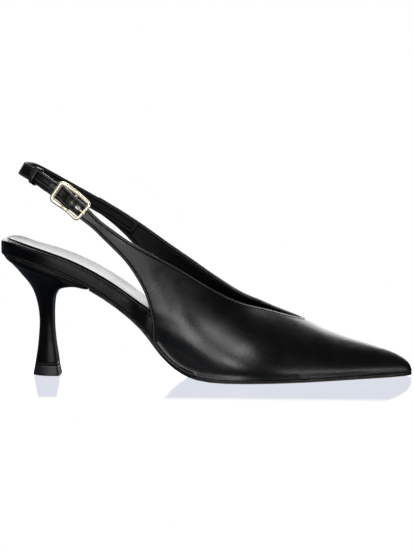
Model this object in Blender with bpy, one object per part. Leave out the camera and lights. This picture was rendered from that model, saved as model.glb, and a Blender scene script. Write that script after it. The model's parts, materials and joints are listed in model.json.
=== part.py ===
# Slingback pump, right shoe: a pointed leather upper on a high flared heel.
# Along the shoe X runs from the back of the seat to the toe, the outer side is -Y, and Z is up.
# The tables hold shares of the named sizes. All lengths are in millimetres until a mesh is made.

import math

import bmesh
import bpy
import numpy as np
from mathutils import Vector

millimetre = 0.001

# The last and the sole
shoe_length = 250.0
ball_width = 76.0
heel_height = 72.7
instep_height = 60.0
toe_spring = 0.6
clearance = 0.3
outsole_thickness = 2.0
waist_thickness = 1.5
outsole_margin = 0.8
waist_margin = 4.4
footbed_thickness = 9.0
footbed_rounding = 1.6
seat_dish = 1.4
inner_lean = 1.8
sock_thickness = 0.8
sock_margin = 2.2
top_lift_height = 6.1
top_lift_flare = 1.1
top_lift_rounding = 0.3
toe_room = 3.0
sock_toe_room = 5.0
slim_half = 16.0

# The upper and its strap
upper_wall = 1.4
strap_width = 8.0
strap_tip_width = 6.2
hole_length = 1.7
hole_width = 1.6
prong_hole_length = 3.4
prong_hole_width = 2.0

# The sling behind the foot, its elastic and its keeper
sling_width = 8.4
sling_thickness = 1.4
sling_lean = math.radians(30.0)
elastic_width = 7.6
elastic_shift = -0.4
elastic_thickness = 0.8
keeper_width = 3.0
keeper_wall = 0.7

# The buckle and its prong
buckle_front = 10.9
buckle_rear = 12.3
buckle_width = 14.4
buckle_bar_radius = 1.05
rear_bar_radius = 1.3
middle_bar_radius = 0.8
buckle_corner = 3.0
buckle_drop = 2.0
prong_radius = 0.5
prong_tip_radius = 0.85

# Places along the shoe, as shares of its length
ball_station = 0.6
toe_spring_station = 0.92
heel_breast_station = 0.2216
buckle_station = 0.1828
waist_station = 0.39
rim_station = 0.343
joint_station = 0.5
throat_station = 0.733
vamp_start = 0.61
vamp_full = 0.70

# Where the heel's sections are widest, as a share of the way from their back to their front
heel_widest = 0.72

# Places along the strap, in millimetres from the buckle's middle bar
strap_tip_reach = -33.0
strap_root_reach = 12.0
sling_outer_end = -17.0
elastic_outer_end = -24.0
elastic_inner_end = -19.0
keeper_reach = -29.0
prong_hole_reach = 5.5
spare_hole_reach = 1.0
strap_settle = 4.5


def table(columns, *rows):
    """Rows under named columns, kept as one array for each column."""
    names = columns.split()
    return {name: np.array([row[i] for row in rows], float) for i, name in enumerate(names)}


# Plan outline of the last at its bottom edge: shares of shoe_length and of ball_width
outline = table(
    "station outer inner",
    (0.000, 0.000, 0.000),
    (0.020, -0.208, 0.208),
    (0.060, -0.308, 0.308),
    (0.120, -0.363, 0.360),
    (0.200, -0.378, 0.369),
    (0.290, -0.379, 0.357),
    (0.370, -0.386, 0.352),
    (0.430, -0.414, 0.362),
    (0.490, -0.455, 0.390),
    (0.545, -0.487, 0.426),
    (0.590, -0.500, 0.455),
    (0.635, -0.490, 0.474),
    (0.680, -0.458, 0.474),
    (0.725, -0.408, 0.450),
    (0.770, -0.350, 0.412),
    (0.820, -0.268, 0.360),
    (0.872, -0.180, 0.300),
    (0.920, -0.098, 0.238),
    (0.960, -0.031, 0.181),
    (0.984, 0.012, 0.136),
    (1.000, 0.068, 0.068),
)

# Height of the last's bottom edge: shares of shoe_length and of heel_height
bottom_line = table(
    "station lift",
    (0.000, 1.003),
    (0.040, 0.974),
    (0.080, 0.937),
    (0.120, 0.895),
    (0.160, 0.845),
    (0.200, 0.783),
    (0.240, 0.706),
    (0.280, 0.618),
    (0.320, 0.511),
    (0.347, 0.426),
    (0.370, 0.333),
    (0.392, 0.232),
    (0.412, 0.155),
    (0.432, 0.099),
    (0.456, 0.053),
    (0.480, 0.026),
    (0.508, 0.010),
    (0.545, 0.000),
    (1.000, 0.000),
)

# Topline, then the vamp's ridge, which runs on as a line in the air behind the throat: shares of
# shoe_length, of instep_height and of ball_width
topline = table(
    "station outer inner reach",
    (0.180, 1.108, 1.150, 0.362),
    (0.220, 1.078, 1.144, 0.374),
    (0.260, 1.043, 1.138, 0.386),
    (0.300, 1.011, 1.124, 0.392),
    (0.340, 0.987, 1.097, 0.390),
    (0.380, 0.975, 1.059, 0.379),
    (0.420, 0.955, 1.017, 0.358),
    (0.460, 0.918, 0.973, 0.327),
    (0.500, 0.863, 0.917, 0.288),
    (0.540, 0.806, 0.857, 0.248),
    (0.584, 0.746, 0.784, 0.208),
    (0.632, 0.687, 0.712, 0.166),
    (0.676, 0.630, 0.644, 0.126),
    (0.704, 0.593, 0.600, 0.092),
    (0.722, 0.570, 0.572, 0.055),
    (0.730, 0.559, 0.560, 0.026),
    (0.733, 0.555, 0.555, 0.000),
)
ridge = table(
    "station height",
    (0.560, 0.915),
    (0.600, 0.832),
    (0.632, 0.757),
    (0.684, 0.652),
    (0.733, 0.555),
    (0.767, 0.485),
    (0.801, 0.419),
    (0.855, 0.341),
    (0.910, 0.268),
    (0.937, 0.229),
    (0.964, 0.181),
    (0.978, 0.146),
    (0.989, 0.108),
    (0.997, 0.060),
    (1.000, 0.000),
)

# How the wall leaves the bottom edge and comes to the topline, or the vamp to its ridge: swell
# and the reaches are shares of ball_width, foot_rise and top_drop of the section's own height
bulge = table(
    "station foot_rise swell top_drop top_reach vamp_reach",
    (0.000, 0.33, 0.004, 0.33, 0.000, 0.245),
    (0.240, 0.33, 0.008, 0.33, 0.000, 0.245),
    (0.380, 0.34, 0.018, 0.33, 0.012, 0.245),
    (0.460, 0.37, 0.026, 0.33, 0.050, 0.245),
    (0.540, 0.40, 0.030, 0.28, 0.100, 0.245),
    (0.632, 0.42, 0.028, 0.16, 0.175, 0.243),
    (0.733, 0.44, 0.022, 0.00, 0.200, 0.230),
    (0.801, 0.47, 0.017, 0.00, 0.200, 0.190),
    (0.900, 0.50, 0.012, 0.00, 0.200, 0.110),
    (0.960, 0.52, 0.008, 0.00, 0.200, 0.058),
    (0.986, 0.53, 0.004, 0.00, 0.200, 0.032),
    (1.000, 0.54, 0.000, 0.00, 0.200, 0.000),
)

# Columns of the upper's mesh, from the strap's root to the toe: where each starts on the rear
# edge or the bottom edge, how high it starts there, and where it ends on the topline or ridge
outer_columns = table(
    "foot height top",
    (0.234, 0.812, 0.252),
    (0.274, 0.762, 0.294),
    (0.313, 0.696, 0.336),
    (0.343, 0.575, 0.372),
    (0.362, 0.458, 0.402),
    (0.372, 0.328, 0.426),
    (0.378, 0.179, 0.444),
    (0.380, 0.000, 0.458),
    (0.392, 0.000, 0.474),
    (0.416, 0.000, 0.494),
    (0.448, 0.000, 0.520),
    (0.488, 0.000, 0.550),
    (0.536, 0.000, 0.584),
    (0.588, 0.000, 0.624),
    (0.640, 0.000, 0.664),
    (0.688, 0.000, 0.702),
    (0.720, 0.000, 0.7235),
    (0.733, 0.000, 0.733),
)
inner_columns = table(
    "foot height top",
    (0.212, 0.815, 0.229),
    (0.248, 0.790, 0.268),
    (0.282, 0.750, 0.304),
    (0.314, 0.690, 0.342),
    (0.341, 0.570, 0.376),
    (0.362, 0.445, 0.404),
    (0.376, 0.325, 0.428),
    (0.384, 0.180, 0.448),
    (0.386, 0.000, 0.462),
    (0.398, 0.000, 0.476),
    (0.418, 0.000, 0.496),
    (0.448, 0.000, 0.520),
    (0.488, 0.000, 0.550),
    (0.536, 0.000, 0.584),
    (0.588, 0.000, 0.624),
    (0.640, 0.000, 0.664),
    (0.688, 0.000, 0.702),
    (0.720, 0.000, 0.7235),
    (0.733, 0.000, 0.733),
)

# Footbed thickness as a share of footbed_thickness: full at the rim, thin inside the vamp
footbed_plan = table(
    "station thickness",
    (0.000, 0.88),
    (0.040, 1.00),
    (0.370, 1.00),
    (0.420, 0.75),
    (0.480, 0.50),
    (0.540, 0.39),
    (0.900, 0.39),
    (1.000, 0.22),
)

# Heel sections from the seat down to the top lift. Stations are shares of shoe_length, rises are
# shares of the way from the top lift up to the seat, and half_width is a share of ball_width
heel_sections = table(
    "back front back_rise front_rise half_width back_power front_power",
    (0.0030, 0.2200, 1.000, 1.000, 0.345, 2.6, 6.0),
    (0.0105, 0.2208, 0.968, 0.964, 0.334, 2.5, 6.0),
    (0.0230, 0.1940, 0.936, 0.917, 0.300, 2.4, 5.5),
    (0.0375, 0.1680, 0.891, 0.860, 0.260, 2.3, 5.0),
    (0.0515, 0.1500, 0.838, 0.812, 0.219, 2.2, 5.0),
    (0.0715, 0.1376, 0.758, 0.746, 0.174, 2.1, 5.5),
    (0.0830, 0.1308, 0.668, 0.668, 0.140, 2.0, 6.0),
    (0.0908, 0.1290, 0.543, 0.540, 0.109, 2.0, 6.5),
    (0.0934, 0.1295, 0.414, 0.403, 0.096, 2.0, 7.0),
    (0.0908, 0.1319, 0.250, 0.268, 0.096, 2.0, 7.0),
    (0.0866, 0.1361, 0.105, 0.134, 0.104, 2.1, 7.0),
    (0.0815, 0.1410, 0.000, 0.000, 0.113, 2.1, 7.0),
)

# The sling's middle line from the wing, past the buckle, round the heel and into the inner wing:
# shares of shoe_length, of ball_width and of instep_height above the pitch line
sling_line = table(
    "station side rise",
    (0.2812, -0.390, 0.935),
    (0.2500, -0.385, 0.977),
    (0.2212, -0.374, 1.011),
    (0.1828, -0.351, 1.052),
    (0.1460, -0.318, 1.064),
    (0.1184, -0.276, 1.070),
    (0.0940, -0.212, 1.060),
    (0.0720, -0.125, 1.036),
    (0.0572, -0.055, 1.018),
    (0.0536, 0.000, 1.013),
    (0.0580, 0.070, 1.016),
    (0.0716, 0.184, 1.028),
    (0.0984, 0.263, 1.036),
    (0.1404, 0.316, 1.044),
    (0.1840, 0.328, 1.055),
    (0.2320, 0.336, 1.059),
    (0.2800, 0.342, 1.049),
    (0.3240, 0.342, 1.017),
)

# How far the strap lies above the sling's middle line, across it
strap_shift = table(
    "reach shift",
    (-34.0, 0.9),
    (-22.0, 1.3),
    (-12.0, 1.4),
    (0.0, 0.7),
    (12.0, 0.0),
)

# How the prong climbs from under the strap to the top of the front bar
prong_rise = table(
    "reach share",
    (1.2, 0.02),
    (2.4, 0.13),
    (3.6, 0.32),
    (4.8, 0.53),
    (6.0, 0.74),
    (7.4, 0.92),
    (8.8, 1.00),
)

rows_across_upper = 8
steps_per_column = 2
toe_columns = 14


def monotone(columns, key, name, at):
    """A smooth curve through one column that never overshoots its rows."""
    x, y = columns[key], columns[name]
    step = np.diff(x)
    rise = np.diff(y) / step
    slope = np.zeros_like(y)
    slope[0], slope[-1] = rise[0], rise[-1]
    for i in range(1, len(x) - 1):
        if rise[i - 1] * rise[i] > 0:
            before = 2 * step[i] + step[i - 1]
            after = step[i] + 2 * step[i - 1]
            slope[i] = (before + after) / (before / rise[i - 1] + after / rise[i])
    at = np.asarray(at, float)
    i = np.clip(np.searchsorted(x, at) - 1, 0, len(step) - 1)
    t = np.clip((at - x[i]) / step[i], 0, 1)
    level = (1 + 2 * t) * (1 - t) ** 2 * y[i] + t * t * (3 - 2 * t) * y[i + 1]
    return level + step[i] * (t * (1 - t) ** 2 * slope[i] - t * t * (1 - t) * slope[i + 1])


def spline(x, y, at):
    """A natural cubic spline, with straight ends."""
    x, y = np.asarray(x, float), np.asarray(y, float)
    step = np.diff(x)
    count = len(x)
    matrix = np.eye(count)
    bend = np.zeros(count)
    for i in range(1, count - 1):
        matrix[i, i - 1 : i + 2] = step[i - 1], 2 * (step[i - 1] + step[i]), step[i]
        bend[i] = 6 * ((y[i + 1] - y[i]) / step[i] - (y[i] - y[i - 1]) / step[i - 1])
    second = np.linalg.solve(matrix, bend)
    at = np.asarray(at, float)
    i = np.clip(np.searchsorted(x, at) - 1, 0, count - 2)
    right, left = (at - x[i]) / step[i], (x[i + 1] - at) / step[i]
    curve = left * y[i] + right * y[i + 1]
    pull = (left**3 - left) * second[i] + (right**3 - right) * second[i + 1]
    return curve + pull * step[i] ** 2 / 6


def along(station):
    """Angle that stands for a station, so that round ends stay round."""
    return np.arccos(np.clip(1 - 2 * np.asarray(station, float), -1, 1))


def smooth_step(value):
    value = np.clip(value, 0, 1)
    return value * value * (3 - 2 * value)


def base_height(station):
    """Bottom of the last over the floor where the sole lies flat, with the toe spring."""
    beyond = np.clip((np.asarray(station, float) - toe_spring_station) / (1 - toe_spring_station), 0, 1)
    return outsole_thickness + clearance + toe_spring * beyond**2


def bottom_height(station):
    return base_height(station) + heel_height * monotone(bottom_line, "station", "lift", station)


def pitch_height(station):
    """Line from the ball up to the heel that the topline and the sling are measured from."""
    pitch = np.clip(1 - np.asarray(station, float) / ball_station, 0, 1) ** 1.5
    return base_height(station) + heel_height * pitch


def slant(station):
    """How much longer a measure straight up is than one square to the bottom line."""
    near = 0.004
    rise = (bottom_height(station + near) - bottom_height(station - near)) / (2 * near * shoe_length)
    return np.sqrt(1 + rise**2)


def edge(station, side):
    """Sideways place of the last's bottom edge."""
    name = "outer" if side < 0 else "inner"
    return ball_width * spline(along(outline["station"]), outline[name], along(station))


def middle(station):
    return (edge(station, -1) + edge(station, 1)) / 2


def ridge_share(station):
    return float(spline(along(ridge["station"]), ridge["height"], along(station)))


def top_height(station, side):
    """Height of the topline behind the throat."""
    name = "outer" if side < 0 else "inner"
    share = spline(topline["station"], topline[name], np.minimum(station, throat_station))
    return pitch_height(station) + instep_height * share


def top_reach(station):
    """Half the opening's width at the topline."""
    reach = spline(topline["station"], topline["reach"], np.minimum(station, throat_station))
    return ball_width * np.where(station < throat_station, np.maximum(reach, 0), 0)


def curve_point(height, foot, lower, upper, top):
    """A point of a cubic curve through a section."""
    t, s = height, 1 - height
    return s**3 * foot + 3 * s * s * t * lower + 3 * s * t * t * upper + t**3 * top


def share_at_topline(foot, lower, upper, top, reach):
    """How far up the whole section the opening's edge cuts it."""
    low, high = 0.0, 1.0
    for _ in range(24):
        half = (low + high) / 2
        if abs(curve_point(half, foot, lower, upper, top)[0]) > reach:
            low = half
        else:
            high = half
    return high


def last_point(station, height, side):
    """A point of the upper's outer face, at a share of the way up its section.

    Behind the throat the wall runs up to the topline. Near the throat it goes over into the
    section of the whole vamp, cut where the opening's edge lies.
    """
    part = {name: spline(bulge["station"], bulge[name], station) for name in bulge if name != "station"}
    centre = float(middle(station))
    foot = np.array([edge(station, side) - centre, bottom_height(station)])
    swell = np.array([side * ball_width * part["swell"], 0])
    wall = np.array([side * top_reach(station), top_height(station, side)])
    crown = np.array([0, pitch_height(station) + instep_height * ridge_share(station)])
    place = np.zeros(2)
    vamp = float(smooth_step((station - vamp_start) / (vamp_full - vamp_start)))
    for top, weight, whole in ((wall, 1 - vamp, False), (crown, vamp, True)):
        if weight > 0:
            rise = np.array([0, max(top[1] - foot[1], 0)])
            lower = foot + swell + rise * part["foot_rise"]
            reach = part["vamp_reach"] if whole else part["top_reach"]
            upper = top + np.array([side * ball_width * max(reach, 0), 0])
            upper -= rise * (0 if whole else np.clip(part["top_drop"], 0, 1))
            end = 1.0
            if whole and station < throat_station:
                end = share_at_topline(foot, lower, upper, top, abs(wall[0]))
            place += weight * curve_point(height * end, foot, lower, upper, top)
    return np.array([shoe_length * station, centre + place[0], place[1]])


def build_sling_path():
    """The sling's middle line as a fine row of points, with the reach of each from the buckle."""
    station = sling_line["station"]
    points = np.column_stack([
        shoe_length * station,
        ball_width * sling_line["side"],
        pitch_height(station) + instep_height * sling_line["rise"],
    ])
    chord = np.concatenate([[0], np.cumsum(np.linalg.norm(np.diff(points, axis=0), axis=1))])
    fine = np.linspace(0, chord[-1], 1200)
    path = np.column_stack([spline(chord, points[:, i], fine) for i in range(3)])
    length = np.concatenate([[0], np.cumsum(np.linalg.norm(np.diff(path, axis=0), axis=1))])
    outer = slice(int(np.argmin(station)), None, -1)
    buckle = np.interp(np.interp(buckle_station, station[outer], chord[outer]), fine, length)
    return path[::-1], (buckle - length)[::-1]


sling_path, sling_reach = build_sling_path()
sling_axis = np.array([math.sin(sling_lean), 0, math.cos(sling_lean)])


def sling_point(reach, across, out):
    """A point beside the sling's middle line: along it, up across it, and out from the foot."""
    near = 0.4
    place, before, after = (
        np.array([np.interp(r, sling_reach, sling_path[:, i]) for i in range(3)])
        for r in (reach, reach - near, reach + near)
    )
    ahead = after - before
    ahead /= np.linalg.norm(ahead)
    up = sling_axis - ahead * sling_axis.dot(ahead)
    up /= np.linalg.norm(up)
    outward = np.cross(ahead, up)
    return place + up * across + outward * out


# Distances out from the sling's middle face, in the order in which the pieces lie
strap_half = upper_wall / 2
bar_out = strap_half + clearance + rear_bar_radius
middle_bar_out = bar_out - buckle_drop
fold_radius = middle_bar_radius + clearance + elastic_thickness / 2
ring_radius = middle_bar_radius + 0.8 * clearance + prong_radius
fold_top = max(fold_radius + elastic_thickness / 2, ring_radius + prong_radius)
strap_hump = middle_bar_out + fold_top + clearance + strap_half
strap_over_sling = sling_thickness / 2 + clearance + strap_half
elastic_out = -sling_thickness / 2 - clearance - elastic_thickness / 2
elastic_under = elastic_out - elastic_thickness - clearance
front_bar_reach = buckle_front - buckle_bar_radius
rear_bar_reach = buckle_rear - rear_bar_radius
bar_across = buckle_width / 2 - buckle_bar_radius
hump_reach = front_bar_reach - clearance


prong_shift = float(monotone(strap_shift, "reach", "shift", 0.0))


def strap_centre(reach):
    """How far the middle of the strap's wall lies out, over the middle bar and under the others."""
    hump = strap_hump * math.cos(math.pi * min(abs(reach) / hump_reach, 1) / 2) ** 2
    rest = strap_over_sling * float(smooth_step((-reach - buckle_rear) / strap_settle))
    return hump + rest


def strap_half_width(reach):
    taper = float(smooth_step((-reach - rear_bar_reach) / strap_settle))
    width = strap_width + (strap_tip_width - strap_width) * taper
    from_tip = reach - strap_tip_reach
    point = 1 - 0.55 * (1 - min(from_tip / 4.0, 1)) ** 2
    return width / 2 * point


def material(name, colour, roughness, metallic=0.0):
    made = bpy.data.materials.new(name)
    made.use_nodes = True
    shader = made.node_tree.nodes["Principled BSDF"]
    shader.inputs["Base Color"].default_value = (*colour, 1)
    shader.inputs["Roughness"].default_value = roughness
    shader.inputs["Metallic"].default_value = metallic
    made.diffuse_color = (*colour, 1)
    return made


def make_object(name, points, faces, paint):
    """One mesh object from points in millimetres, with doubled points merged."""
    work = bmesh.new()
    corners = [work.verts.new([c * millimetre for c in p]) for p in points]
    for face in faces:
        if len(set(face)) > 2:
            work.faces.new([corners[i] for i in face])
    bmesh.ops.remove_doubles(work, verts=work.verts[:], dist=0.00001)
    bmesh.ops.recalc_face_normals(work, faces=work.faces[:])
    mesh = bpy.data.meshes.new(name)
    work.to_mesh(mesh)
    work.free()
    mesh.shade_smooth()
    mesh.set_sharp_from_angle(angle=math.radians(40))
    mesh.materials.append(paint)
    made = bpy.data.objects.new(name, mesh)
    bpy.context.scene.collection.objects.link(made)
    return made


def solidify(made, thickness, offset):
    wall = made.modifiers.new("wall", "SOLIDIFY")
    wall.thickness = thickness * millimetre
    wall.offset = offset
    wall.use_even_offset = True
    wall.use_quality_normals = True


def face_outward(made, inside):
    """Turns an open sheet over when its faces look at the point inside it."""
    mesh = made.data
    total = sum((f.center - inside).dot(f.normal) * f.area for f in mesh.polygons)
    if total < 0:
        mesh.flip_normals()


def stations(start, end, count):
    """Places along the shoe, closer at its round ends and where the shank bends."""
    fine = np.linspace(start, end, 2000)
    ends = 1 / (np.sqrt(fine * (1 - fine)) + 0.03)
    bend = 5 * np.exp(-(((fine - 0.41) / 0.06) ** 2))
    total = np.cumsum(ends + bend)
    return np.interp(np.linspace(total[0], total[-1], count), total, fine)


def inset_edge(station, side, ends, margin):
    """A point of the last's bottom outline, drawn in at its two ends and at its side."""
    x = ends[0] + station * (shoe_length - ends[0] - ends[1])
    centre = middle(station)
    half = edge(station, side) - centre
    return x, float(centre + half * (1 - margin / max(abs(half), slim_half)))


def plate(name, rows, layers, dish, paint, across=6, dish_both=False):
    """A curved plate that follows the last's bottom, built up from rings of the outline.

    Each layer holds the room left at the two ends, the margin left at the sides and the height,
    and dish lowers the upper face between its edges.
    """
    points, rings = [], []
    for ends, margin, height in layers:
        ring = []
        for side in (-1, 1):
            line = []
            for station in rows:
                x, y = inset_edge(station, side, ends, margin(station))
                points.append((x, y, height(x / shoe_length, side)))
                line.append(len(points) - 1)
            ring.append(line)
        rings.append(ring)
    faces = []
    last = len(rows) - 1
    for low, high in zip(rings, rings[1:]):
        for side in (0, 1):
            for i in range(last):
                faces.append((low[side][i], low[side][i + 1], high[side][i + 1], high[side][i]))
    ladders = []
    for ring, sink in ((rings[0], dish if dish_both else None), (rings[-1], dish)):
        ladder = []
        for i in range(last + 1):
            start, end = np.array(points[ring[0][i]]), np.array(points[ring[1][i]])
            rung = [ring[0][i]]
            wide = float(smooth_step((end[1] - start[1]) / (0.5 * ball_width)))
            for k in range(1, across):
                share = k / across
                place = start + (end - start) * share
                if sink is not None:
                    place[2] -= sink(place[0] / shoe_length) * wide * 4 * share * (1 - share)
                points.append(tuple(place))
                rung.append(len(points) - 1)
            ladder.append(rung + [ring[1][i]])
        for near, far in zip(ladder, ladder[1:]):
            for k in range(across):
                faces.append((near[k], near[k + 1], far[k + 1], far[k]))
        ladders.append(ladder)
    for i in (0, last):
        outer_side, inner_side = ([ring[side][i] for ring in rings[1:-1]] for side in (0, 1))
        if points[rings[0][1][i]][1] - points[rings[0][0][i]][1] > clearance:
            faces.append((*ladders[0][i], *inner_side, *reversed(ladders[1][i]), *reversed(outer_side)))
    return make_object(name, points, faces, paint)


def footbed_top(station, side):
    """Upper face of the footbed, a little lower along its inner side."""
    thickness = footbed_thickness * monotone(footbed_plan, "station", "thickness", station)
    lean = inner_lean * smooth_step((joint_station - station) / 0.15) * smooth_step((station - 0.03) / 0.06)
    return bottom_height(station) + thickness * slant(station) - lean * (side + 1) / 2


def dish_depth(station):
    return seat_dish * float(smooth_step((joint_station - station) / 0.2) * smooth_step(station / 0.03))


def make_outsole(paint):
    def waist(station):
        return float(smooth_step((joint_station - station) / (joint_station - waist_station)))

    def margin(station):
        return outsole_margin + waist_margin * waist(station)

    def upper_face(station, side):
        return bottom_height(station) - clearance * slant(station)

    def lower_face(station, side):
        thickness = outsole_thickness + (waist_thickness - outsole_thickness) * waist(station)
        return upper_face(station, side) - thickness * slant(station)

    rows = stations(heel_breast_station + 1.2 * clearance / shoe_length, 1.0, 34)
    bevel = 0.4
    layers = [
        ((0, bevel), lambda s: margin(s) + bevel, lower_face),
        ((0, 0), margin, lambda s, side: lower_face(s, side) + bevel),
        ((0, 0), margin, upper_face),
    ]
    return plate("outsole", rows, layers, None, paint)


footbed_margin = upper_wall + 3 * clearance
rim_run = 3 * footbed_margin


def rim_margin(station):
    """Room between the last's edge and the footbed: none behind the upper, its wall inside it."""
    return footbed_margin * float(smooth_step((station - rim_station) * shoe_length / rim_run))


def make_footbed(paint):
    def ring(drawn_in, dropped):
        room = footbed_rounding * drawn_in

        def height(station, side):
            rounding = footbed_rounding if station < joint_station else 0.6 * footbed_rounding
            return footbed_top(station, side) - rounding * dropped

        ends = (room, room + footbed_margin + toe_room)
        return ends, lambda s: room + rim_margin(s), height

    ends = (0, footbed_margin + toe_room)
    bottom = (ends, rim_margin, lambda s, side: bottom_height(s))
    layers = [bottom, ring(0, 1), ring(0.3, 0.3), ring(1, 0)]
    return plate("footbed", stations(0.0, 1.0, 40), layers, dish_depth, paint, across=5)


def make_sock_lining(paint):
    """The lining over the footbed, which follows its dish on both faces."""
    room = footbed_rounding + sock_margin
    ends = (room, room + footbed_margin + toe_room + sock_toe_room)

    def lower_face(station, side):
        return footbed_top(station, side) + clearance

    def margin(station):
        return room + rim_margin(station)

    layers = [
        (ends, margin, lower_face),
        (ends, margin, lambda s, side: lower_face(s, side) + sock_thickness),
    ]
    return plate("sock_lining", stations(0.0, 1.0, 36), layers, dish_depth, paint, across=5, dish_both=True)


def heel_outline(angle, back, front, half_width, back_power, front_power):
    """A rounded outline whose flanks open from the back to the widest place near the breast."""
    widest = back + (front - back) * heel_widest
    forward, sideways = math.cos(angle), math.sin(angle)
    power, reach = (front_power, front - widest) if forward > 0 else (back_power, widest - back)
    x = widest + reach * math.copysign(abs(forward) ** (2 / power), forward)
    return x, half_width * math.copysign(abs(sideways) ** (2 / power), sideways)


def loft(name, loops, cap_height, paint, across=6):
    """A solid through loops of equal count, its first cap following a curved height."""
    count = len(loops[0])
    points = [p for loop in loops for p in loop]
    faces = []
    for k in range(len(loops) - 1):
        for i in range(count):
            j = (i + 1) % count
            faces.append((k * count + i, k * count + j, (k + 1) * count + j, (k + 1) * count + i))
    faces.append(tuple(range((len(loops) - 1) * count, len(loops) * count)))
    ladder = []
    for i in range(count // 2 + 1):
        j = (count - i) % count
        if i == j:
            ladder.append([i] * (across + 1))
            continue
        rung = [i]
        start, end = np.array(points[i]), np.array(points[j])
        for k in range(1, across):
            place = start + (end - start) * k / across
            place[2] = cap_height(place[0])
            points.append(tuple(place))
            rung.append(len(points) - 1)
        ladder.append(rung + [j])
    for near, far in zip(ladder, ladder[1:]):
        for k in range(across):
            face = []
            for corner in (near[k], near[k + 1], far[k + 1], far[k]):
                if corner not in face:
                    face.append(corner)
            if len(face) > 2:
                faces.append(tuple(face))
    return make_object(name, points, faces, paint)


def seat_under(station):
    return float(bottom_height(station)) - clearance * float(slant(station))


def make_heel(paint, around=24, steps=20):
    floor_gap = top_lift_height + clearance
    numbered = dict(heel_sections, row=np.arange(len(heel_sections["back"])))
    loops = []
    for step in np.linspace(0, numbered["row"][-1], steps):
        row = {name: float(monotone(numbered, "row", name, step)) for name in heel_sections}
        back, front = shoe_length * row["back"], shoe_length * row["front"]
        low, high = (
            floor_gap + row[rise] * (seat_under(row[place]) - floor_gap)
            for place, rise in (("back", "back_rise"), ("front", "front_rise"))
        )
        loop = []
        for i in range(around):
            x, y = heel_outline(
                2 * math.pi * i / around, back, front, ball_width * row["half_width"],
                row["back_power"], row["front_power"],
            )
            z = low + (high - low) * (x - back) / (front - back)
            on_seat = seat_under(x / shoe_length)
            blend = max(0.0, 1 - step)
            loop.append((x, y, z + (on_seat - z) * blend))
        loops.append(loop)
    return loft("heel", loops, lambda x: seat_under(x / shoe_length), paint)


def make_top_lift(paint, around=24):
    foot = {name: values[-1] for name, values in heel_sections.items()}
    loops = []
    foot_grow = top_lift_flare - top_lift_rounding
    for height, grow in ((top_lift_height, 0), (top_lift_rounding, top_lift_flare), (0, foot_grow)):
        loop = []
        for i in range(around):
            back, front = shoe_length * foot["back"] - grow, shoe_length * foot["front"] + grow
            x, y = heel_outline(
                2 * math.pi * i / around, back, front, ball_width * foot["half_width"] + grow,
                foot["back_power"], foot["front_power"],
            )
            loop.append((x, y, height))
        loops.append(loop)
    return loft("top_lift", loops, lambda x: top_lift_height, paint)


def sheet(rows_of_points, skip=()):
    """Points and quads of a grid given as rows, without the cells that are cut out."""
    points = [p for row in rows_of_points for p in row]
    wide = len(rows_of_points[0])
    faces = []
    for i in range(len(rows_of_points) - 1):
        for k in range(wide - 1):
            if (i, k) not in skip:
                a = i * wide + k
                faces.append((a, a + 1, a + wide + 1, a + wide))
    return points, faces


def strap_reaches():
    """Places of the strap's mesh columns, one to a millimetre where it passes the buckle."""
    tail = list(np.linspace(strap_tip_reach, -10, 10))
    return tail + list(range(-9, 10)) + [strap_root_reach]


def rounded_hole(reach, across, holes):
    """Moves a point on a hole's rim to the hole's round edge."""
    for centre, half_length, half_width in holes:
        dx, dy = reach - centre, across
        inside = abs(dx) < half_length + 0.35 and abs(dy) < half_width + 0.35
        if inside and (dx, dy) != (0, 0):
            size = math.hypot(dx / half_length, dy / half_width)
            return centre + dx / size, dy / size
    return reach, across


def strap_columns():
    """Outer face of the strap from its tip to its root, with the cells of its holes."""
    reaches = strap_reaches()
    half_rows = rows_across_upper // 2
    holes = [
        (prong_hole_reach, prong_hole_length / 2, prong_hole_width / 2),
        (spare_hole_reach, hole_length / 2, hole_width / 2),
    ]
    columns, skip = [], set()
    for i, reach in enumerate(reaches):
        column = []
        half_width = strap_half_width(reach)
        shift = float(monotone(strap_shift, "reach", "shift", reach))
        for k in range(rows_across_upper + 1):
            across = half_width * (k - half_rows) / half_rows
            place, offset = rounded_hole(reach, across, holes)
            column.append(sling_point(place, shift + offset, strap_centre(place) + strap_half))
            if i + 1 < len(reaches) and k < rows_across_upper:
                centre = (reach + reaches[i + 1]) / 2
                middle_across = across + half_width / half_rows / 2
                for hole, half_length, half_hole in holes:
                    if abs(centre - hole) < half_length and abs(middle_across) < half_hole:
                        skip.add((i, k))
        columns.append(column)
    return columns, skip


def wing_columns(pairs, side):
    """Outer face of one side of the upper, from the strap's root to the toe."""
    index = np.arange(len(pairs["foot"]))
    steps = np.linspace(0, index[-1], index[-1] * steps_per_column + 1)
    feet = monotone({"i": index, "v": pairs["foot"]}, "i", "v", steps)
    heights = monotone({"i": index, "v": pairs["height"]}, "i", "v", steps)
    tops = monotone({"i": index, "v": pairs["top"]}, "i", "v", steps)
    columns = []
    for foot, start, top in zip(feet, heights, tops):
        column = []
        for k in range(rows_across_upper + 1):
            share = k / rows_across_upper
            column.append(last_point(foot + (top - foot) * share, start + (1 - start) * share, side))
        columns.append(column)
    toe = (1 - np.cos(np.linspace(float(along(throat_station)), math.pi, toe_columns + 1))) / 2
    for station in toe[1:]:
        columns.append([
            last_point(station, k / rows_across_upper, side) for k in range(rows_across_upper + 1)
        ])
    return columns


def make_upper(paint):
    strap, skip = strap_columns()
    outer = strap + wing_columns(outer_columns, -1)
    inner = wing_columns(inner_columns, 1)
    points, faces = sheet(outer, skip)
    more, more_faces = sheet(inner)
    faces += [tuple(i + len(points) for i in face) for face in more_faces]
    made = make_object("upper", points + more, faces, paint)
    face_outward(made, Vector((joint_station * shoe_length, 0, instep_height / 2)) * millimetre)
    solidify(made, upper_wall, -1)
    return made


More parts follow.
